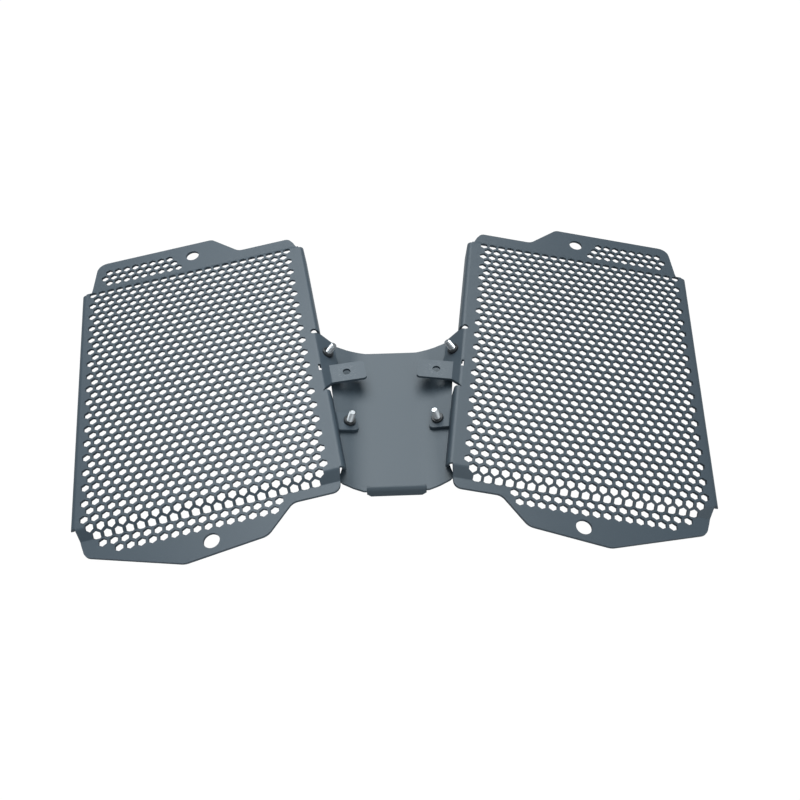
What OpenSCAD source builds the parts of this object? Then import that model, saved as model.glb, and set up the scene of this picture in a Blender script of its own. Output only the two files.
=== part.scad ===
/* [Sheet] */
// Thickness of the sheet that the guards and the centre plate are made from
sheet_t = 2; // [1.5:0.1:2.6]
// Inside radius of every fold
fold_r = 1.5; // [1:0.1:2]

/* [Perforation] */
// Distance between neighbouring hexagonal holes
pitch = 7.5; // [6.2:0.1:9]
// Distance across the flats of one hexagonal hole
hex_af = 5.6; // [4.6:0.1:6.8]

/* [Raised field] */
// From the middle of the guard to the outside of its outer flange
outer_side = 92; // [76:0.5:110]
// From the middle of the guard to the outside of its inner flanges
inner_side = 96.5; // [80:0.5:115]
// From the middle of the guard to its top fold
top_fold = 112; // [92:0.5:134]
// From the middle of the guard to its bottom fold
bottom_fold = 116; // [96:0.5:139]
// Depth of the flanges along both sides
flange_h = 12.5; // [10:0.5:15]

/* [Steps and end tabs] */
// Drop from the raised field to the end tabs
step_h = 5.6; // [4.5:0.1:7]
// Slope of the steps
step_angle = 40; // [33:1:48]
// From the top fold to the far edge of the top tab
top_tab_l = 41.5; // [34:0.5:50]
// From the bottom fold to the lowest point of the bottom tab
bottom_tab_l = 42.5; // [35:0.5:51]
// From the top fold to the edge of the narrow part of the top tab
top_narrow_l = 19.6; // [16:0.1:24]
// From the bottom fold to the edge of the narrow part of the bottom tab
bottom_narrow_l = 15.5; // [13:0.5:19]
// Diameter of the mounting hole in each end tab
mount_d = 11; // [9:0.5:13]
// From the ends of the tabs to the middles of the mounting holes, at the top
top_mount_in = 14.9; // [12:0.1:18]
// The same at the bottom
bottom_mount_in = 12.2; // [10:0.1:15]

/* [Pose of the guards] */
// Half the distance between the folds of the two upper wings
fold_half = 56; // [50:0.5:66]
// Roll of each guard, its inner side up
roll = 7.2; // [5.9:0.1:8.6]
// Splay of each guard seen from above
splay = 8.8; // [7.2:0.1:10.5]

/* [Wings on the inner sides] */
// Slope of the wings
wing_slope = 33.9; // [28:0.1:40]
// Length of the upper wing from its fold
wing_l = 16; // [13:0.5:19]
// From the fold of the wing to the fold of the level ear
ear_fold = 7.6; // [6.3:0.1:9]
// Length of the level ear
ear_l = 26; // [21:0.5:31]
// Width of the level ear
ear_w = 17; // [14:0.5:20]
// Diameter of the open hole in the level ear
ear_hole_d = 5.8; // [4.8:0.1:7]
// Length of the lower tab
low_tab_l = 14.5; // [12:0.5:17]
// Width of the lower tab
low_tab_w = 15.8; // [13:0.1:19]

/* [Centre plate] */
// Half the width of the plate's flat middle
flat_half = 16; // [13:0.5:19]
// Radius of the plate's rolled sides, on their upper face
roll_r = 54; // [45:0.5:64]
// Slope of the plate's sides beyond the roll
side_slope = 16; // [13:0.5:19]
// From the guards' middles to the straight part of the arch
arch_y = 16.2; // [13:0.1:19]
// From the guards' middles to the lower edge of the plate
plate_low = 110; // [92:0.5:131]
// Half the width of the lip along the lower edge
lip_half = 20.5; // [17:0.5:24]
// Depth of the lip
lip_h = 7.5; // [6:0.1:9]

/* [Fasteners] */
// Diameter of the screws
screw_d = 5; // [4:0.1:6]
// Height of the screw ends above the sheet
screw_stand = 10; // [8:0.5:12]
// Diameter of the round screw heads
head_d = 9.5; // [8:0.1:11.5]
// Height of the round screw heads
head_h = 2.8; // [2.2:0.1:3.4]
// Diameter of the press nuts' collars
nut_d = 8.8; // [8:0.1:10.5]
// Height of the press nuts' collars above the sheet
nut_h = 2; // [1.6:0.1:2.4]

/* [Hidden] */
$fn = 64;
coat = [0.33, 0.38, 0.42];
steel = [0.8, 0.8, 0.8];
black_coat = [0.1, 0.11, 0.12];
row_step = pitch * sqrt(3) / 2;
hex_r = hex_af / sqrt(3);
fold_out = fold_r + sheet_t;
fold_mid = fold_r + sheet_t / 2;
deep = 60;
lap = 0.5;
outer_flat = outer_side - fold_out;
inner_flat = inner_side - fold_out;
screw_gap = 0.1;
seat = 0.05;

// Each step: the slanted length between its folds, its run, and its length along the sheet
step_slant = (step_h - 2 * fold_mid * (1 - cos(step_angle))) / sin(step_angle);
step_arc = fold_mid * step_angle * PI / 180;
step_run = 2 * fold_mid * sin(step_angle) + step_slant * cos(step_angle);
step_len = 2 * step_arc + step_slant;
step_loss = step_len - step_run;

// Mounting holes of a guard
top_mount = [1.5, top_fold + top_tab_l - top_mount_in];
bottom_mount = [1.5, -bottom_fold - bottom_tab_l + bottom_mount_in];

// The upper wing: its fold lies on the line of the inner flat, and distances w run down its slope
wing_turn = wing_slope + roll;
wing_start = inner_flat - fold_out * tan(wing_turn / 2);
wing_high = 11.5;
wing_cut = -21;
wing_low = -47;
guard_x = fold_half + inner_flat * cos(roll) * cos(splay);
lift = outer_side * sin(roll) + flange_h * cos(roll);
screw_w = 8.5;
screw_v = -8;
flap_w = 18;

// The plate's flaps lie under the upper wings; their roots fix the height of the plate
fold_q = inner_flat * cos(roll);
fold_z = inner_flat * sin(roll);
root_q = fold_q + flap_w * cos(wing_slope) - (sheet_t + seat) * sin(wing_slope);
root_z = fold_z - flap_w * sin(wing_slope) - (sheet_t + seat) * cos(wing_slope);
root_x = guard_x - root_q * cos(splay) + screw_v * sin(splay);
roll_end = flat_half + roll_r * sin(side_slope);
roll_rise = roll_r * (1 - cos(side_slope));
plate_z = root_z - (root_x - roll_end) * tan(side_slope) - roll_rise;

// The lower tabs lie on the plate's sides
tab_v = -70.4;
tab_slope = side_slope;
tab_turn = 90 - roll - tab_slope;
tab_seat = 0.1 + tan(side_slope) * sin(splay) * low_tab_w / 2;
tab_screw = 9;
tab_root_u = inner_side;
tab_q0 = tab_root_u * cos(roll);
// Height of the plate's upper face above a point of the tab, and the depth where the tab leaves the flange
function side_x(q, v) = guard_x - q * cos(splay) + v * sin(splay);
function plate_top(x) = plate_z + roll_rise + (x - roll_end) * tan(side_slope);
tab_q = tab_q0 + tab_screw;
tab_top = plate_top(side_x(tab_q, tab_v)) + tab_seat + sheet_t / cos(tab_slope);
tab_n = (tab_top + tab_screw * tan(tab_slope) - tab_root_u * sin(roll)) / cos(roll);
tab_leg = -tab_n - fold_out - fold_r * tan(tab_turn / 2);

// The middle line of a folded strip as points with headings, and the strip's outline
function walk(steps, i = 0, x = 0, z = -sheet_t / 2, h = 0) =
    let (run = steps[i][0], a = steps[i][1], r = sign(a) * fold_mid, n = max(1, ceil(abs(a) / 11)))
    let (qx = x + run * cos(h), qz = z - run * sin(h))
    let (arc = [for (k = [1:n]) let (b = a * k / n)
        [qx + r * (sin(h + b) - sin(h)), qz + r * (cos(h + b) - cos(h)), h + b]])
    let (bend = a == 0 ? [] : arc, e = a == 0 ? [qx, qz, h] : arc[n - 1])
    concat([[qx, qz, h]], bend, i + 1 < len(steps) ? walk(steps, i + 1, e[0], e[1], e[2]) : []);
function beside(path, d) = [for (p = path) [p[0] + d * sin(p[2]), p[1] + d * cos(p[2])]];
function backwards(list) = [for (i = [len(list) - 1:-1:0]) list[i]];
function profile(steps) = let (path = concat([[0, -sheet_t / 2, 0]], walk(steps)))
    concat(beside(path, sheet_t / 2), backwards(beside(path, -sheet_t / 2)));

// An outline with rounded corners: each corner is a point and a radius
function fillet(a, b, c, r) = r == 0 ? [b] :
    let (u = (a - b) / norm(a - b), w = (c - b) / norm(c - b))
    let (half = acos(u * w) / 2, mid = (u + w) / norm(u + w))
    let (m = b + mid * r / sin(half), from = b + u * r / tan(half) - m)
    let (way = u[0] * w[1] - u[1] * w[0] > 0 ? -1 : 1, sweep = way * (180 - 2 * half))
    [for (i = [0:6]) let (t = sweep * i / 6)
        [m[0] + from[0] * cos(t) - from[1] * sin(t), m[1] + from[0] * sin(t) + from[1] * cos(t)]];
function corner(list, i) = [list[i % len(list)][0], list[i % len(list)][1]];
function rounded(list) = let (n = len(list))
    [for (i = [0:n - 1]) each fillet(corner(list, i + n - 1), corner(list, i), corner(list, i + 1), list[i][2])];

top_outline = rounded([[-outer_flat, top_fold - 1, 0], [inner_flat, top_fold - 1, 0], [inner_flat, top_fold, 0],
    [inner_flat - 1, top_fold + 4, 0], [inner_flat - 4.5, top_fold + top_narrow_l - 6, 5],
    [inner_flat - 8, top_fold + top_narrow_l, 5], [41.5, top_fold + top_narrow_l, 8],
    [19.5, top_fold + top_tab_l, 6], [-outer_flat + 7.5, top_fold + top_tab_l, 9],
    [-outer_flat + 3.1, top_fold + 11.3, 0], [-outer_flat + 1, top_fold + 2, 0], [-outer_flat, top_fold, 0]]);
bottom_outline = rounded([[inner_flat, -bottom_fold + 1, 0], [-outer_flat, -bottom_fold + 1, 0], [-outer_flat, -bottom_fold, 0],
    [-outer_flat + 3, -bottom_fold - 12, 0], [-outer_flat + 5.5, -bottom_fold - bottom_narrow_l - 5, 7],
    [-17, -bottom_fold - bottom_tab_l, 12], [38.5, -bottom_fold - bottom_tab_l + 6.5, 10],
    [57.5, -bottom_fold - bottom_narrow_l, 8], [inner_flat - 3.2, -bottom_fold - bottom_narrow_l, 6],
    [inner_flat - 1, -bottom_fold - 4, 0], [inner_flat, -bottom_fold, 0]]);

// The assembly is centred on its overall size from front to back
function far_y(p, n) = sin(splay) * (p[0] * cos(roll) + n * sin(roll)) + cos(splay) * p[1];
high_y = max([for (p = top_outline) far_y(p, step_h + sheet_t)]);
low_y = min([for (p = bottom_outline) far_y(p, step_h)]);
mid_y = -(high_y + low_y) / 2;

// Half the number of steps from the first to the last hole of a row, for rows with and without a middle hole
side_room = (outer_flat - hex_af / 2 - 3) / pitch;
function half_row(k) = k % 2 == 0 ? floor(side_room - 0.5) + 0.5 : floor(side_room);
function row_us(k) = let (h = half_row(k)) [for (i = [-h:1:h]) i * pitch];
last_top = floor((top_fold + 1.2) / row_step);
last_bottom = floor((bottom_fold + 1.2) / row_step);

// The perforated middle of the field, cut off between two rows at each end
skin = 0.01;
core_half = half_row(1) * pitch + hex_af / 2 + 1.7;
first_row = 1 - last_bottom;
band_rows = 6;
bands = ceil((last_top - first_row) / band_rows);
core_low = (first_row - 0.5) * row_step;
core_high = (last_top - 0.5) * row_step;

// Rows beyond a fold, by their distance s from the fold along the sheet: on the slope or on the tab
function slope_rows(fold, last) = [for (k = [last + 1:last + 3]) let (s = k * row_step - fold)
    if (s + hex_r < step_len + 0.6) k];
function tab_rows(fold, last) = [for (k = [last + 1:last + 9]) let (s = k * row_step - fold)
    if (s - hex_r > step_len - 0.1) k];
function tab_v_of(k) = k * row_step - step_loss;
top_clear = mount_d / 2 + 9.5;
function in_top_tab(u, v) = u > -outer_flat + 11.5 && u < 0 && v < top_fold + top_tab_l - 9
    && norm([u, v] - top_mount) > top_clear;
function in_bottom_tab(u, d) = let (e = d - bottom_fold - 12) d < bottom_fold + bottom_narrow_l + 5
    && u > -outer_flat + 13.5 + 1.7 * e && u < 52.5 - 0.58 * e;

module hexagon() {
    rotate(90) circle(d = 2 * hex_r, $fn = 6);
}

// A folded strip from the origin along x: lengths of its flats, each with the turn after it,
// downwards when positive
module folded(steps, width) {
    translate([0, width, 0]) rotate([90, 0, 0]) linear_extrude(width) polygon(profile(steps));
}

// The perforated middle of the field, in bands whose faces lie a hair below those of the rim around them
module perforation() {
    for (i = [0:bands - 1]) band(first_row + i * band_rows,
        min(first_row + (i + 1) * band_rows, last_top) - 1, skin * (1 + i % 2));
}

module band(first, last, below) {
    more = hex_r > row_step / 2 ? 1 : 0;
    translate([0, 0, below - sheet_t]) linear_extrude(sheet_t - 2 * below) difference() {
        translate([-core_half, (first - 0.5) * row_step])
            square([2 * core_half, (last - first + 1) * row_step]);
        for (k = [first - more:last + more]) for (u = row_us(k))
            translate([u, k * row_step]) hexagon();
    }
}

module rim() {
    translate([0, 0, -sheet_t]) linear_extrude(sheet_t) difference() {
        polygon([[-outer_flat, -bottom_fold], [inner_flat, -bottom_fold], [inner_flat, wing_low - 1],
            [wing_start, wing_low - 1], [wing_start, wing_high + 2], [inner_flat, wing_high + 2],
            [inner_flat, top_fold], [-outer_flat, top_fold]]);
        translate([-core_half, core_low]) square([2 * core_half, core_high - core_low]);
        for (k = [-last_bottom, last_top]) for (u = row_us(k))
            translate([u, k * row_step]) hexagon();
        reliefs();
    }
}

module reliefs() {
    translate([inner_flat - 0.6, wing_high + 1.3]) circle(d = 4.6);
    translate([inner_flat - 1.9, -27.7]) square([2, 6]);
}

// The sloped step at one end, made as if it were the top one
module step(fold, last) {
    difference() {
        intersection() {
            translate([inner_flat, fold - lap, 0]) rotate([0, 0, 90])
                folded([[lap, step_angle], [step_slant, -step_angle], [lap, 0]], outer_flat + inner_flat);
            translate([0, 0, -deep]) linear_extrude(2 * deep) children();
        }
        translate([0, 0, -deep]) linear_extrude(2 * deep)
            for (u = row_us(last)) translate([u, last * row_step]) hexagon();
        for (k = slope_rows(fold, last)) {
            d = k * row_step - fold - step_arc;
            translate([0, fold + fold_mid * sin(step_angle) + d * cos(step_angle),
                -sheet_t / 2 - fold_mid * (1 - cos(step_angle)) - d * sin(step_angle)])
                rotate([-step_angle, 0, 0]) linear_extrude(2.6 * sheet_t, center = true)
                    for (u = row_us(k)) if (abs(u) < outer_flat - 9) translate([u, 0]) hexagon();
        }
    }
}

module top_end() {
    step(top_fold, last_top) polygon(top_outline);
    translate([0, 0, -step_h - sheet_t]) linear_extrude(sheet_t) difference() {
        intersection() {
            polygon(top_outline);
            translate([-deep * 2, top_fold + step_run]) square([deep * 4, top_tab_l]);
        }
        translate(top_mount) circle(d = mount_d);
        for (k = tab_rows(top_fold, last_top)) for (u = row_us(k))
            if (in_top_tab(u, tab_v_of(k))) translate([u, tab_v_of(k)]) hexagon();
    }
}

module bottom_end() {
    mirror([0, 1, 0]) step(bottom_fold, last_bottom) mirror([0, 1]) polygon(bottom_outline);
    translate([0, 0, -step_h - sheet_t]) linear_extrude(sheet_t) difference() {
        intersection() {
            polygon(bottom_outline);
            translate([-deep * 2, -bottom_fold - step_run - bottom_tab_l])
                square([deep * 4, bottom_tab_l]);
        }
        translate(bottom_mount) circle(d = mount_d);
        for (k = tab_rows(bottom_fold, last_bottom)) for (u = row_us(k))
            if (in_bottom_tab(u, tab_v_of(k))) translate([u, -tab_v_of(k)]) hexagon();
    }
}

// A flange down one side between two heights, its ends slanted
module flange(v1, v2, cut1, cut2) {
    intersection() {
        translate([-lap, v1, 0]) folded([[lap, 90], [flange_h - fold_out, 0]], v2 - v1);
        translate([-deep, 0, 0]) rotate([90, 0, 90]) linear_extrude(2 * deep)
            polygon([[v1, 1], [v1, -fold_out], [v1 + cut1, -flange_h - 1],
                [v2 - cut2, -flange_h - 1], [v2, -fold_out], [v2, 1]]);
    }
}

module inner_edge() {
    difference() {
        union() {
            translate([inner_flat, 0, 0]) {
                flange(wing_high + 2, top_fold, 2, 9);
                flange(-bottom_fold, tab_v - low_tab_w / 2, 5, 0);
                flange(tab_v + low_tab_w / 2, wing_low - 0.3, 0, 0);
            }
            upper_wing();
            level_ear();
            lower_tab();
        }
        translate([0, 0, -deep]) linear_extrude(deep + 1) reliefs();
    }
}

module upper_wing() {
    c = cos(wing_turn);
    difference() {
        intersection() {
            translate([wing_start - lap, wing_cut, 0])
                folded([[lap, wing_turn], [wing_l - fold_out * tan(wing_turn / 2), 0]], wing_high - wing_cut);
            translate([inner_flat, 0, -deep]) linear_extrude(2 * deep)
                polygon(rounded([[-4, wing_cut, 0], [wing_l * c, wing_cut, 2],
                    [wing_l * c, wing_high - 6.8, 2], [13.4 * c, wing_high - 5.5, 0],
                    [5.7 * c, wing_high - 0.8, 0], [0, wing_high, 0], [-4, wing_high, 0]]));
        }
        upper_screw_axis() cylinder(d = screw_d + 1.4, h = 12, center = true);
    }
}

module level_ear() {
    tuck = fold_out * tan(wing_turn / 2) + fold_r * tan(wing_slope / 2);
    c = cos(wing_turn);
    difference() {
        intersection() {
            translate([wing_start - lap, wing_low, 0])
                folded([[lap, wing_turn], [ear_fold - tuck, -wing_slope],
                    [ear_l - fold_r * tan(wing_slope / 2), 0]], wing_cut - wing_low);
            translate([inner_flat, 0, -deep]) linear_extrude(2 * deep)
                polygon(rounded([[-4, wing_low, 0], [-1, wing_low, 0],
                    [ear_fold * c, wing_cut - ear_w, 2], [ear_fold * c + ear_l * 0.99, wing_cut - ear_w, 2.5],
                    [ear_fold * c + ear_l * 0.99, wing_cut, 2.5], [-4, wing_cut, 0]]));
            }
        translate([inner_flat + ear_fold * c, wing_cut - ear_w / 2, -ear_fold * sin(wing_turn)])
            rotate([0, roll, 0]) translate([12, 0, 0]) cylinder(d = ear_hole_d, h = 12, center = true);
    }
}

module lower_tab() {
    difference() {
        intersection() {
            translate([inner_flat - lap, tab_v - low_tab_w / 2, 0])
                folded([[lap, 90], [tab_leg, -tab_turn], [low_tab_l, 0]], low_tab_w);
            translate([inner_flat, tab_v, -deep]) linear_extrude(2 * deep)
                polygon(rounded([[-4, -low_tab_w / 2, 0], [low_tab_l + 2.9, -low_tab_w / 2, 3],
                    [low_tab_l + 2.9, low_tab_w / 2, 3], [-4, low_tab_w / 2, 0]]));
        }
        lower_screw_axis() cylinder(d = screw_d + 1.4, h = 12, center = true);
    }
}

// Frames on the upper faces of the wing and of the lower tab, z along the screws
module upper_screw_axis() {
    translate([inner_flat, screw_v, 0]) rotate([0, wing_turn, 0]) translate([screw_w, 0, 0]) children();
}

module lower_screw_axis() {
    translate([tab_root_u, tab_v, tab_n]) rotate([0, roll + tab_slope, 0])
        translate([tab_screw / cos(tab_slope), 0, 0]) children();
}

module guard() {
    union() {
        perforation();
        rim();
        top_end();
        bottom_end();
        mirror([1, 0, 0]) translate([outer_flat, 0, 0]) flange(-bottom_fold, top_fold, 9, 9);
        inner_edge();
    }
}

module left_side() {
    translate([-guard_x, mid_y, lift]) rotate([0, -roll, splay]) children();
}

module right_side() {
    mirror([1, 0, 0]) left_side() children();
}

// Half of the plate seen from above, on the side of the right guard
plate_half = [[lip_half, -plate_low + fold_out], [lip_half, -plate_low - 0.2],
    [22.5, -plate_low - 0.2], [30, -plate_low + 2], [37, -plate_low + 4.7], [39.5, -plate_low + 7],
    [side_x(tab_q0 + 1.6, -101), -86], [side_x(tab_q0 + 1.6, -48), -33], [side_x(tab_q0 + 2, -36), -20],
    [side_x(fold_q + 19.4 * cos(wing_slope), wing_cut - 0.7) + 0.9, -5],
    [root_x + 4.9, arch_y + 5], [42, arch_y + 3.8], [34, arch_y + 1.8], [19.6, arch_y]];

// The upper face of the plate from the middle to one side, as points with slopes
plate_line = concat([for (i = [0:16]) let (a = side_slope * i / 16)
    [flat_half + roll_r * sin(a), plate_z + roll_r * (1 - cos(a)), a]],
    [[roll_end + 30, plate_z + roll_rise + 30 * tan(side_slope), side_slope]]);
plate_low_line = [for (p = plate_line) [p[0] + sheet_t * sin(p[2]), p[1] - sheet_t * cos(p[2])]];
function mirrored(list) = [for (p = list) [-p[0], p[1]]];
function flat_points(list) = [for (p = list) [p[0], p[1]]];

module rolled_plate() {
    intersection() {
        translate([0, 60, 0]) rotate([90, 0, 0]) linear_extrude(220)
            polygon(concat(backwards(mirrored(plate_line)), flat_points(plate_line),
                backwards(plate_low_line), mirrored(plate_low_line)));
        translate([0, 0, -deep]) linear_extrude(2 * deep)
            polygon(concat(plate_half, backwards(mirrored(plate_half))));
    }
}

module flap() {
    translate([inner_flat, 0, 0]) rotate([0, wing_turn, 0]) translate([0, 0, -2 * sheet_t - seat])
        linear_extrude(sheet_t)
            polygon([[1.8, wing_cut - 1], [19.4, wing_cut - 0.7], [15.8, wing_high - 6.5],
                [13.4, wing_high - 5.7], [5.7, wing_high - 1], [1.8, wing_high - 0.5]]);
}

module lip() {
    difference() {
        translate([-lip_half, -plate_low + fold_out + lap, plate_z]) rotate([0, 0, -90])
            folded([[lap, 90], [lip_h - fold_out, 0]], 2 * lip_half);
        for (side = [-1, 1]) translate([side * lip_half, -plate_low, plate_z - lip_h])
            rotate([0, 45, 0]) cube([4, 12, 4], center = true);
    }
}

module centre_plate() {
    color(coat) difference() {
        union() {
            translate([0, mid_y, lift]) {
                rolled_plate();
                lip();
            }
            left_side() flap();
            right_side() flap();
        }
        left_side() plate_holes();
        right_side() plate_holes();
    }
}

module plate_holes() {
    upper_screw_axis() cylinder(d = screw_d + 0.6, h = 20, center = true);
    lower_screw_axis() cylinder(d = screw_d + 0.6, h = 20, center = true);
}

module nut() {
    color(black_coat) difference() {
        union() {
            cylinder(d = nut_d, h = nut_h - 0.4);
            translate([0, 0, nut_h - 0.4]) cylinder(d1 = nut_d, d2 = nut_d - 0.8, h = 0.4);
            translate([0, 0, -sheet_t]) cylinder(d = screw_d + 1.3, h = sheet_t + 1);
        }
        cylinder(d = screw_d + 2 * screw_gap, h = 20, center = true);
    }
}

// A screw seen with its head under the plate, the given distance below the upper face of the sheet
module screw(below) {
    color(steel) {
        translate([0, 0, -below]) cylinder(d = screw_d, h = below + screw_stand - 0.5);
        translate([0, 0, screw_stand - 0.5]) cylinder(d1 = screw_d, d2 = screw_d - 1, h = 0.5);
        translate([0, 0, -below]) rotate([180, 0, 0]) round_head();
    }
}

module round_head() {
    ball = (head_d * head_d / 4 + head_h * head_h) / (2 * head_h);
    difference() {
        intersection() {
            translate([0, 0, head_h - ball]) sphere(r = ball);
            cylinder(d = head_d + 1, h = head_h + 1);
        }
        translate([0, 0, head_h - 1.6]) cylinder(d = 3 / cos(30), h = 3, $fn = 6);
    }
}

upper_below = 2 * sheet_t + 2 * seat;
lower_below = 2 * sheet_t + tab_seat + 0.3;

module left_guard() { color(coat) left_side() guard(); }
module right_guard() { color(coat) right_side() guard(); }
module nut_upper_left() { left_side() upper_screw_axis() nut(); }
module nut_upper_right() { right_side() upper_screw_axis() nut(); }
module nut_lower_left() { left_side() lower_screw_axis() nut(); }
module nut_lower_right() { right_side() lower_screw_axis() nut(); }
module screw_upper_left() { left_side() upper_screw_axis() screw(upper_below); }
module screw_upper_right() { right_side() upper_screw_axis() screw(upper_below); }
module screw_lower_left() { left_side() lower_screw_axis() screw(lower_below); }
module screw_lower_right() { right_side() lower_screw_axis() screw(lower_below); }

left_guard();
right_guard();
centre_plate();
nut_upper_left();
nut_upper_right();
nut_lower_left();
nut_lower_right();
screw_upper_left();
screw_upper_right();
screw_lower_left();
screw_lower_right();
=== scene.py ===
# Motorcycle radiator guard: two perforated guards on a rolled centre plate
import bpy, bmesh
from math import cos, sin, pi, radians, sqrt
from mathutils import Matrix, Vector


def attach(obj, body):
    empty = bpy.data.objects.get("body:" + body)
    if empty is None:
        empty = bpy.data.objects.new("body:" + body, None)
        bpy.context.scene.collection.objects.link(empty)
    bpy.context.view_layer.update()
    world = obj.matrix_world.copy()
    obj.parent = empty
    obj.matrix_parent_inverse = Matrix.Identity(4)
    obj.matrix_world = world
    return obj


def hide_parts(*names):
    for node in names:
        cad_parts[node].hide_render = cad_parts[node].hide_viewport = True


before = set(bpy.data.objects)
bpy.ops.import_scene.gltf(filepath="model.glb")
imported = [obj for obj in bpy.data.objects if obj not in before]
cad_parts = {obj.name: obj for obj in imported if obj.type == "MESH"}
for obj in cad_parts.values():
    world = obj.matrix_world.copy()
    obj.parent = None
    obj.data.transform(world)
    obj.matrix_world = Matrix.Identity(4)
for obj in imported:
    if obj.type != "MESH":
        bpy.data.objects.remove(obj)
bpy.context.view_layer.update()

mm = 0.001


def newMaterial(name):
    material = bpy.data.materials.new(name)
    material.use_nodes = True
    tree = material.node_tree
    return material, tree, tree.nodes["Principled BSDF"]


def addNode(tree, kind, place, **values):
    node = tree.nodes.new(kind)
    node.location = place
    for name, value in values.items():
        if hasattr(node, name):
            setattr(node, name, value)
        else:
            node.inputs[name.replace("_", " ")].default_value = value
    return node


def newGroup(name, inputs, outputs):
    group = bpy.data.node_groups.new(name, "ShaderNodeTree")
    for label, kind, value in inputs:
        socket = group.interface.new_socket(label, in_out="INPUT", socket_type=kind)
        if value is not None:
            socket.default_value = value
    for label, kind in outputs:
        group.interface.new_socket(label, in_out="OUTPUT", socket_type=kind)
    start = group.nodes.new("NodeGroupInput")
    start.location = (-900, 0)
    end = group.nodes.new("NodeGroupOutput")
    end.location = (700, 0)
    return group, start, end


def placeGroup(tree, group, place, **values):
    node = tree.nodes.new("ShaderNodeGroup")
    node.node_tree = group
    node.location = place
    for name, value in values.items():
        node.inputs[name].default_value = value
    return node


grain = {"driftScale": 9.0, "peelScale": 900.0, "speckScale": 2600.0, "speckSpread": 0.22}


# Fine orange peel of a baked powder coat, with slow drifts in tone and gloss
def makeCoatGrain():
    group, start, end = newGroup(
        "coatGrain",
        [("Tone", "NodeSocketColor", (0.1, 0.1, 0.1, 1)), ("Gloss", "NodeSocketFloat", 0.4),
         ("Drift", "NodeSocketFloat", 0.1), ("Peel", "NodeSocketFloat", 0.1)],
        [("Color", "NodeSocketColor"), ("Roughness", "NodeSocketFloat"), ("Height", "NodeSocketFloat")])
    link = group.links.new
    place = addNode(group, "ShaderNodeTexCoord", (-900, -300))
    slow = addNode(group, "ShaderNodeTexNoise", (-650, 200), Scale=grain["driftScale"],
                   Detail=3.0, Roughness=0.5)
    peel = addNode(group, "ShaderNodeTexNoise", (-650, -100), Scale=grain["peelScale"],
                   Detail=2.0, Roughness=0.55)
    speck = addNode(group, "ShaderNodeTexNoise", (-650, -400), Scale=grain["speckScale"], Detail=1.0)
    for noise in (slow, peel, speck):
        link(place.outputs["Object"], noise.inputs["Vector"])
    centred = addNode(group, "ShaderNodeMath", (-450, 200), operation="SUBTRACT")
    centred.inputs[1].default_value = 0.5
    link(slow.outputs["Fac"], centred.inputs[0])
    drift = addNode(group, "ShaderNodeMath", (-250, 200), operation="MULTIPLY")
    link(centred.outputs[0], drift.inputs[0])
    link(start.outputs["Drift"], drift.inputs[1])
    speckSpread = addNode(group, "ShaderNodeMath", (-450, -400), operation="MULTIPLY_ADD")
    speckSpread.inputs[1].default_value = grain["speckSpread"]
    speckSpread.inputs[2].default_value = -grain["speckSpread"] / 2
    link(speck.outputs["Fac"], speckSpread.inputs[0])
    light = addNode(group, "ShaderNodeMath", (-50, 100), operation="ADD")
    link(drift.outputs[0], light.inputs[0])
    link(speckSpread.outputs[0], light.inputs[1])
    value = addNode(group, "ShaderNodeMath", (120, 100), operation="ADD")
    value.inputs[1].default_value = 1.0
    link(light.outputs[0], value.inputs[0])
    shade = addNode(group, "ShaderNodeHueSaturation", (320, 200))
    link(value.outputs[0], shade.inputs["Value"])
    link(start.outputs["Tone"], shade.inputs["Color"])
    link(shade.outputs["Color"], end.inputs["Color"])
    rough = addNode(group, "ShaderNodeMath", (120, -100), operation="ADD", use_clamp=True)
    link(drift.outputs[0], rough.inputs[0])
    link(start.outputs["Gloss"], rough.inputs[1])
    link(rough.outputs[0], end.inputs["Roughness"])
    height = addNode(group, "ShaderNodeMath", (120, -300), operation="MULTIPLY")
    link(peel.outputs["Fac"], height.inputs[0])
    link(start.outputs["Peel"], height.inputs[1])
    link(height.outputs[0], end.inputs["Height"])
    return group


streaks = {"stretch": 6.0, "scale": 420.0, "faint": 0.54, "full": 0.66, "solidShare": 0.2}


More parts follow.
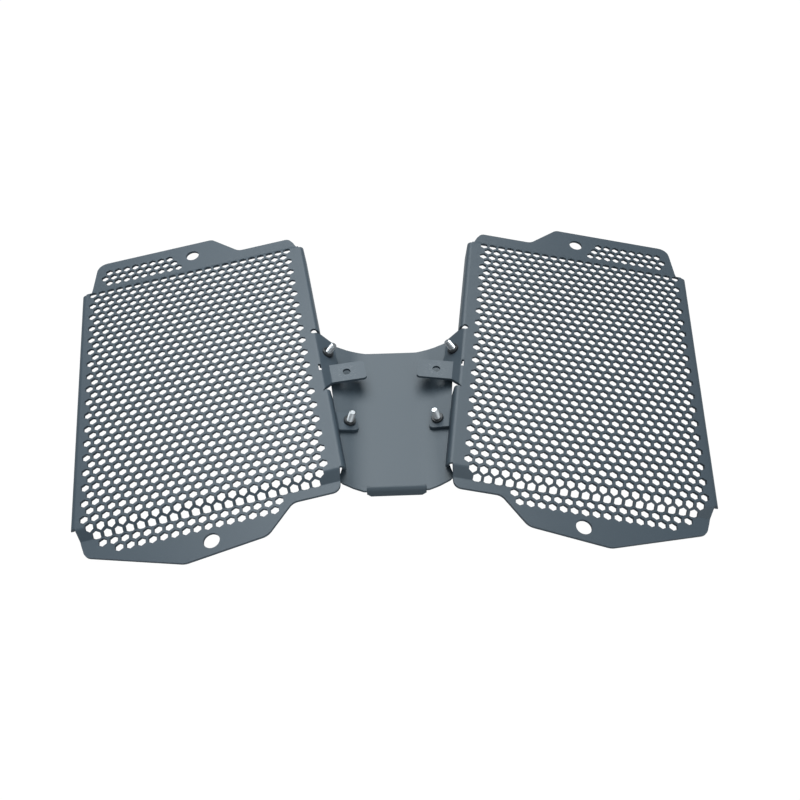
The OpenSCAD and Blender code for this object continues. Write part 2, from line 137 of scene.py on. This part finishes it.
# Short rubbed streaks where a tab has been handled, kept to a round area
def makeScuffs():
    group, start, end = newGroup(
        "handlingScuffs",
        [("Place", "NodeSocketVector", (0, 0, 0)), ("Reach", "NodeSocketFloat", 0.01),
         ("Turn", "NodeSocketFloat", 0.0), ("Amount", "NodeSocketFloat", 0.5)],
        [("Mask", "NodeSocketFloat")])
    link = group.links.new
    place = addNode(group, "ShaderNodeTexCoord", (-900, -200))
    turn = addNode(group, "ShaderNodeVectorRotate", (-700, -50), rotation_type="Z_AXIS")
    link(place.outputs["Object"], turn.inputs["Vector"])
    link(start.outputs["Turn"], turn.inputs["Angle"])
    stretch = addNode(group, "ShaderNodeMapping", (-520, -50))
    stretch.inputs["Scale"].default_value = (1.0, streaks["stretch"], 1.0)
    link(turn.outputs["Vector"], stretch.inputs["Vector"])
    streak = addNode(group, "ShaderNodeTexNoise", (-340, -50), Scale=streaks["scale"],
                     Detail=3.0, Roughness=0.6)
    link(stretch.outputs["Vector"], streak.inputs["Vector"])
    cut = addNode(group, "ShaderNodeMapRange", (-150, -50))
    cut.inputs["From Min"].default_value = streaks["faint"]
    cut.inputs["From Max"].default_value = streaks["full"]
    link(streak.outputs["Fac"], cut.inputs["Value"])
    away = addNode(group, "ShaderNodeVectorMath", (-520, 200), operation="DISTANCE")
    link(place.outputs["Object"], away.inputs[0])
    link(start.outputs["Place"], away.inputs[1])
    share = addNode(group, "ShaderNodeMath", (-340, 200), operation="DIVIDE")
    link(away.outputs["Value"], share.inputs[0])
    link(start.outputs["Reach"], share.inputs[1])
    near = addNode(group, "ShaderNodeMapRange", (-150, 200), interpolation_type="SMOOTHSTEP")
    near.inputs["From Min"].default_value = 1.0
    near.inputs["From Max"].default_value = streaks["solidShare"]
    link(share.outputs[0], near.inputs["Value"])
    both = addNode(group, "ShaderNodeMath", (60, 100), operation="MULTIPLY")
    link(cut.outputs["Result"], both.inputs[0])
    link(near.outputs["Result"], both.inputs[1])
    out = addNode(group, "ShaderNodeMath", (240, 100), operation="MULTIPLY", use_clamp=True)
    link(both.outputs[0], out.inputs[0])
    link(start.outputs["Amount"], out.inputs[1])
    link(out.outputs[0], end.inputs["Mask"])
    return group


coatGrain = makeCoatGrain()
handlingScuffs = makeScuffs()


# Gives a shader its colour, its gloss and its fine relief
def applyGrain(tree, shader, node, color, finish):
    link = tree.links.new
    link(color, shader.inputs["Base Color"])
    link(node.outputs["Roughness"], shader.inputs["Roughness"])
    bump = addNode(tree, "ShaderNodeBump", (-350, -400))
    bump.inputs["Distance"].default_value = finish["peelDepth"]
    bump.inputs["Strength"].default_value = finish["bump"]
    link(node.outputs["Height"], bump.inputs["Height"])
    link(bump.outputs["Normal"], shader.inputs["Normal"])


# Dark slate grey powder coat with painted light and shade: the left guard's tone is a little lighter and
# the right guard's a little darker, standing in for how the lamps fall on their different tilts
coat = {
    "tonesWithPaintedLight": {"left": (0.052, 0.072, 0.09, 1), "right": (0.047, 0.065, 0.081, 1),
              "plate": (0.047, 0.066, 0.082, 1)},
    "roughness": 0.42,
    "drift": 0.08,
    "peel": 0.5,
    "peelDepth": 0.00003,
    "bump": 0.5,
    "scuffTone": (0.3, 0.32, 0.34, 1),
}


def makePowderCoat(name, tone, scuffs=()):
    material, tree, shader = newMaterial(name)
    base = placeGroup(tree, coatGrain, (-700, 100), Tone=tone, Gloss=coat["roughness"],
                      Drift=coat["drift"], Peel=coat["peel"])
    color = base.outputs["Color"]
    for place, reach, turn, amount in scuffs:
        scuff = placeGroup(tree, handlingScuffs, (-700, -300), Place=place, Reach=reach,
                           Turn=turn, Amount=amount)
        mix = addNode(tree, "ShaderNodeMix", (-350, 0), data_type="RGBA")
        mix.inputs[7].default_value = coat["scuffTone"]
        tree.links.new(scuff.outputs["Mask"], mix.inputs[0])
        tree.links.new(color, mix.inputs[6])
        color = mix.outputs[2]
    applyGrain(tree, shader, base, color, coat)
    return material


plating = {"tone": (0.63, 0.64, 0.65, 1), "roughness": 0.28, "drift": 0.25, "peel": 0.6,
           "peelDepth": 0.00002, "bump": 0.4, "metallic": 1.0, "specular": 0.5}
blackening = {"tone": (0.018, 0.02, 0.022, 1), "roughness": 0.38, "drift": 0.1, "peel": 0.4,
              "peelDepth": 0.00002, "bump": 0.4, "metallic": 0.0, "specular": 0.6}


def makeSteel(name, finish):
    material, tree, shader = newMaterial(name)
    base = placeGroup(tree, coatGrain, (-600, 100), Tone=finish["tone"], Gloss=finish["roughness"],
                      Drift=finish["drift"], Peel=finish["peel"])
    applyGrain(tree, shader, base, base.outputs["Color"], finish)
    shader.inputs["Metallic"].default_value = finish["metallic"]
    shader.inputs["Specular IOR Level"].default_value = finish["specular"]
    return material


# The level ears carry light scuffs around their open holes
earScuff = {"across": 0.0334, "along": -0.0101, "up": 0.0314, "reach": 0.014, "turn": 0.6, "amount": 0.28}


def scuffOnEar(side):
    place = (side * earScuff["across"], earScuff["along"], earScuff["up"])
    return place, earScuff["reach"], side * earScuff["turn"], earScuff["amount"]


# The left guard's coat carries a painted lighter tone and the right guard's a painted darker tone, for
# light and shade, not a real difference in the coat
leftCoatPaintedLight = makePowderCoat("powderCoatLeftPaintedLight", coat["tonesWithPaintedLight"]["left"], [scuffOnEar(-1)])
rightCoatPaintedShade = makePowderCoat("powderCoatRightPaintedShade", coat["tonesWithPaintedLight"]["right"], [scuffOnEar(1)])
plateCoat = makePowderCoat("powderCoatPlate", coat["tonesWithPaintedLight"]["plate"])
zincPlating = makeSteel("zincPlating", plating)
blackedSteel = makeSteel("blackedSteel", blackening)
print("stage: materials made")


def dress(node, material):
    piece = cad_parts[node]
    piece.data.materials.clear()
    piece.data.materials.append(material)


corners = ("upper_left", "upper_right", "lower_left", "lower_right")
dress("left_guard", leftCoatPaintedLight)
dress("right_guard", rightCoatPaintedShade)
dress("centre_plate", plateCoat)
for corner in corners:
    dress("nut_" + corner, blackedSteel)
print("stage: guards, plate and nuts dressed")


# Lengths in millimetres along the screw, angles in degrees
screw = {
    "shank": 2.5, "core": 2.08, "pitch": 0.8, "head": 4.75, "headHeight": 2.8,
    "socket": 1.73, "socketDepth": 1.6, "rimStart": 1.15, "headSteps": 7,
    "threadLength": 11.0, "runOut": 0.4, "tipBevel": 0.25, "tipCut": 0.35,
    "ridgeStart": 0.2, "ridgeEnd": 0.9, "ridgeSink": 0.1, "ridgeWidth": 0.72, "segments": 24,
    "slopes": {"upper": 33.9, "lower": 16.0}, "splay": 8.8,
}


def ring(bm, radius, height, segments):
    made = bmesh.ops.create_circle(bm, cap_ends=False, segments=segments, radius=radius,
                                   matrix=Matrix.Translation((0, 0, height)))
    return list({edge for vert in made["verts"] for edge in vert.link_edges})


def loft(bm, loops):
    for first, second in zip(loops, loops[1:]):
        bmesh.ops.bridge_loops(bm, edges=first + second)


# Where the plain CAD screw has its tip, which way it points and how long it is
def screwFrame(node, slope, side):
    splay = radians(screw["splay"])
    tilt = radians(slope)
    axis = Vector((-side * sin(tilt) * cos(splay), sin(tilt) * sin(splay), cos(tilt)))
    points = [vert.co.copy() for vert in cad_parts[node].data.vertices]
    heights = [point.dot(axis) for point in points]
    top, low = max(heights), min(heights)
    nearTop = 0.00002
    ends = [point for point, height in zip(points, heights) if height > top - nearTop]
    tip = sum(ends, Vector()) / len(ends)
    turn = Vector((0, 0, 1)).rotation_difference(axis).to_matrix().to_4x4()
    return Matrix.Translation(tip) @ turn, (top - low) / mm


# The socket's two hexagons are cut into as many edges as the round loops have
def sinkSocket(bm, headTop):
    cuts = screw["segments"] // 6 - 1
    rim = ring(bm, screw["socket"], headTop, 6)
    bmesh.ops.subdivide_edges(bm, edges=rim, cuts=cuts)
    rim = [edge for edge in bm.edges]
    bottom = ring(bm, screw["socket"], headTop + screw["socketDepth"], 6)
    bmesh.ops.subdivide_edges(bm, edges=bottom, cuts=cuts)
    bottom = [edge for edge in bm.edges if edge not in rim]
    loft(bm, [bottom, rim])
    bmesh.ops.holes_fill(bm, edges=bottom, sides=0)
    return rim


# The domed head, the shank and the tip, from the socket's rim up
def turnBody(bm, rim, headTop):
    n = screw["segments"]
    seat = headTop + screw["headHeight"]
    ball = (screw["head"] ** 2 + screw["headHeight"] ** 2) / (2 * screw["headHeight"])
    inner = screw["socket"] * screw["rimStart"]
    loops = [rim]
    for step in range(1, screw["headSteps"] + 1):
        radius = inner + (screw["head"] - inner) * step / screw["headSteps"]
        rise = ball - sqrt(max(ball ** 2 - radius ** 2, 0))
        loops.append(ring(bm, radius, headTop + rise, n))
    loops.append(ring(bm, screw["head"], seat, n))
    loops.append(ring(bm, screw["shank"], seat, n))
    loops.append(ring(bm, screw["shank"], -screw["threadLength"], n))
    loops.append(ring(bm, screw["core"], -screw["threadLength"] + screw["runOut"], n))
    loops.append(ring(bm, screw["core"], -screw["tipBevel"], n))
    loops.append(ring(bm, screw["core"] - screw["tipCut"], 0, n))
    loft(bm, loops)
    bmesh.ops.holes_fill(bm, edges=loops[-1], sides=0)


# One closed ridge wound up the core
def windThread(bm):
    turns = (screw["threadLength"] - screw["ridgeEnd"]) / screw["pitch"]
    start = -screw["threadLength"] + screw["ridgeStart"]
    foot = screw["core"] - screw["ridgeSink"]
    corners = ((foot, start), (screw["shank"], start + screw["ridgeWidth"] / 2),
               (foot, start + screw["ridgeWidth"]))
    ridge = [bm.verts.new(Vector((radius, 0, height))) for radius, height in corners]
    edges = [bm.edges.new((ridge[k], ridge[(k + 1) % 3])) for k in range(3)]
    steps = int(turns * screw["segments"])
    made = bmesh.ops.spin(bm, geom=ridge + edges, cent=(0, 0, 0), axis=(0, 0, 1), angle=turns * 2 * pi,
                          dvec=(0, 0, turns * screw["pitch"] / steps), steps=steps, use_merge=False)
    bm.faces.new(ridge)
    bm.faces.new([item for item in made["geom_last"] if isinstance(item, bmesh.types.BMVert)])


def makeScrew(corner, side):
    node = "screw_" + corner
    place, length = screwFrame(node, screw["slopes"][corner.split("_")[0]], side)
    bm = bmesh.new()
    turnBody(bm, sinkSocket(bm, -length), -length)
    windThread(bm)
    bmesh.ops.recalc_face_normals(bm, faces=bm.faces[:])
    bmesh.ops.scale(bm, vec=(mm, mm, mm), verts=bm.verts[:])
    bmesh.ops.transform(bm, matrix=place, verts=bm.verts[:])
    mesh = bpy.data.meshes.new("threaded_screw_" + corner)
    bm.to_mesh(mesh)
    bm.free()
    piece = bpy.data.objects.new("threaded_screw_" + corner, mesh)
    bpy.context.scene.collection.objects.link(piece)
    mesh.materials.append(zincPlating)
    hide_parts(node)
    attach(piece, "root")


for corner in corners:
    makeScrew(corner, -1 if corner.endswith("left") else 1)
print("stage: screws made")


studio = {"background": 1.05, "fill": 0.32, "fillTone": (0.86, 0.94, 1, 1), "lampColor": (0.9, 0.965, 1)}
table = {"half": 6.0, "drop": 0.0002, "tone": (0.5, 0.505, 0.51, 1), "roughness": 0.7,
         "specular": 0.2, "shadow": 0.05}


def makeFloor():
    bm = bmesh.new()
    bmesh.ops.create_grid(bm, x_segments=1, y_segments=1, size=table["half"])
    bmesh.ops.translate(bm, verts=bm.verts[:], vec=(0, 0, -table["drop"]))
    mesh = bpy.data.meshes.new("table")
    bm.to_mesh(mesh)
    bm.free()
    floor = bpy.data.objects.new("table", mesh)
    bpy.context.scene.collection.objects.link(floor)
    material, tree, shader = newMaterial("whiteTable")
    shader.inputs["Base Color"].default_value = table["tone"]
    shader.inputs["Roughness"].default_value = table["roughness"]
    shader.inputs["Specular IOR Level"].default_value = table["specular"]
    glow = addNode(tree, "ShaderNodeEmission", (0, -300))
    glow.inputs["Color"].default_value = (1, 1, 1, 1)
    glow.inputs["Strength"].default_value = studio["background"]
    rays = addNode(tree, "ShaderNodeLightPath", (-300, 300))
    share = addNode(tree, "ShaderNodeMath", (-50, 300), operation="MULTIPLY")
    share.inputs[1].default_value = 1.0 - table["shadow"]
    tree.links.new(rays.outputs["Is Camera Ray"], share.inputs[0])
    mix = addNode(tree, "ShaderNodeMixShader", (250, 0))
    tree.links.new(share.outputs[0], mix.inputs[0])
    tree.links.new(shader.outputs[0], mix.inputs[1])
    tree.links.new(glow.outputs[0], mix.inputs[2])
    tree.links.new(mix.outputs[0], tree.nodes["Material Output"].inputs["Surface"])
    mesh.materials.append(material)


makeFloor()


def makeWorld():
    world = bpy.data.worlds.new("studioWhite")
    bpy.context.scene.world = world
    world.use_nodes = True
    tree = world.node_tree
    backdrop = tree.nodes["Background"]
    backdrop.inputs["Color"].default_value = (1, 1, 1, 1)
    backdrop.inputs["Strength"].default_value = studio["background"]
    fill = addNode(tree, "ShaderNodeBackground", (-200, -200), Color=studio["fillTone"],
                   Strength=studio["fill"])
    rays = addNode(tree, "ShaderNodeLightPath", (-400, 200))
    mix = addNode(tree, "ShaderNodeMixShader", (100, 0))
    tree.links.new(rays.outputs["Is Camera Ray"], mix.inputs[0])
    tree.links.new(fill.outputs[0], mix.inputs[1])
    tree.links.new(backdrop.outputs[0], mix.inputs[2])
    tree.links.new(mix.outputs[0], tree.nodes["World Output"].inputs["Surface"])


makeWorld()

lamps = {
    "keyBehind": {"place": (-0.12, 0.85, 1.5), "size": 1.5, "power": 32.0},
    "fillAbove": {"place": (0.5, -0.5, 1.7), "size": 1.6, "power": 5.0},
    "fillFront": {"place": (0.5, -1.4, 0.8), "size": 1.2, "power": 5.0},
}


def makeLamps():
    for name, values in lamps.items():
        light = bpy.data.lights.new(name, "AREA")
        light.size = values["size"]
        light.energy = values["power"]
        light.color = studio["lampColor"]
        lamp = bpy.data.objects.new(name, light)
        place = Vector(values["place"])
        lamp.location = place
        lamp.rotation_euler = (-place).to_track_quat("-Z", "Y").to_euler()
        bpy.context.scene.collection.objects.link(lamp)


makeLamps()

# The photograph's viewpoint, worked out from the rows of holes
viewpoint = {
    "place": (-12.426, -428.507, 506.681),
    "right": (0.999081, -0.042832, 0.001661),
    "down": (-0.032066, -0.772565, -0.634125),
    "forward": (0.028444, 0.633489, -0.773229),
    "focalPixels": 850.82, "picturePixels": 800, "sensor": 36.0,
}


def makeCamera():
    data = bpy.data.cameras.new("photoCamera")
    data.sensor_width = viewpoint["sensor"]
    data.lens = viewpoint["focalPixels"] / viewpoint["picturePixels"] * viewpoint["sensor"]
    data.clip_start = 0.01
    data.clip_end = 50
    camera = bpy.data.objects.new("photoCamera", data)
    right, down, forward = (Vector(viewpoint[key]) for key in ("right", "down", "forward"))
    turn = Matrix((right, -down, -forward)).transposed().to_4x4()
    camera.matrix_world = Matrix.Translation(Vector(viewpoint["place"]) * mm) @ turn
    bpy.context.scene.collection.objects.link(camera)
    bpy.context.scene.camera = camera


makeCamera()
bpy.context.scene.view_settings.view_transform = "Standard"
print("stage: floor, light and camera set")
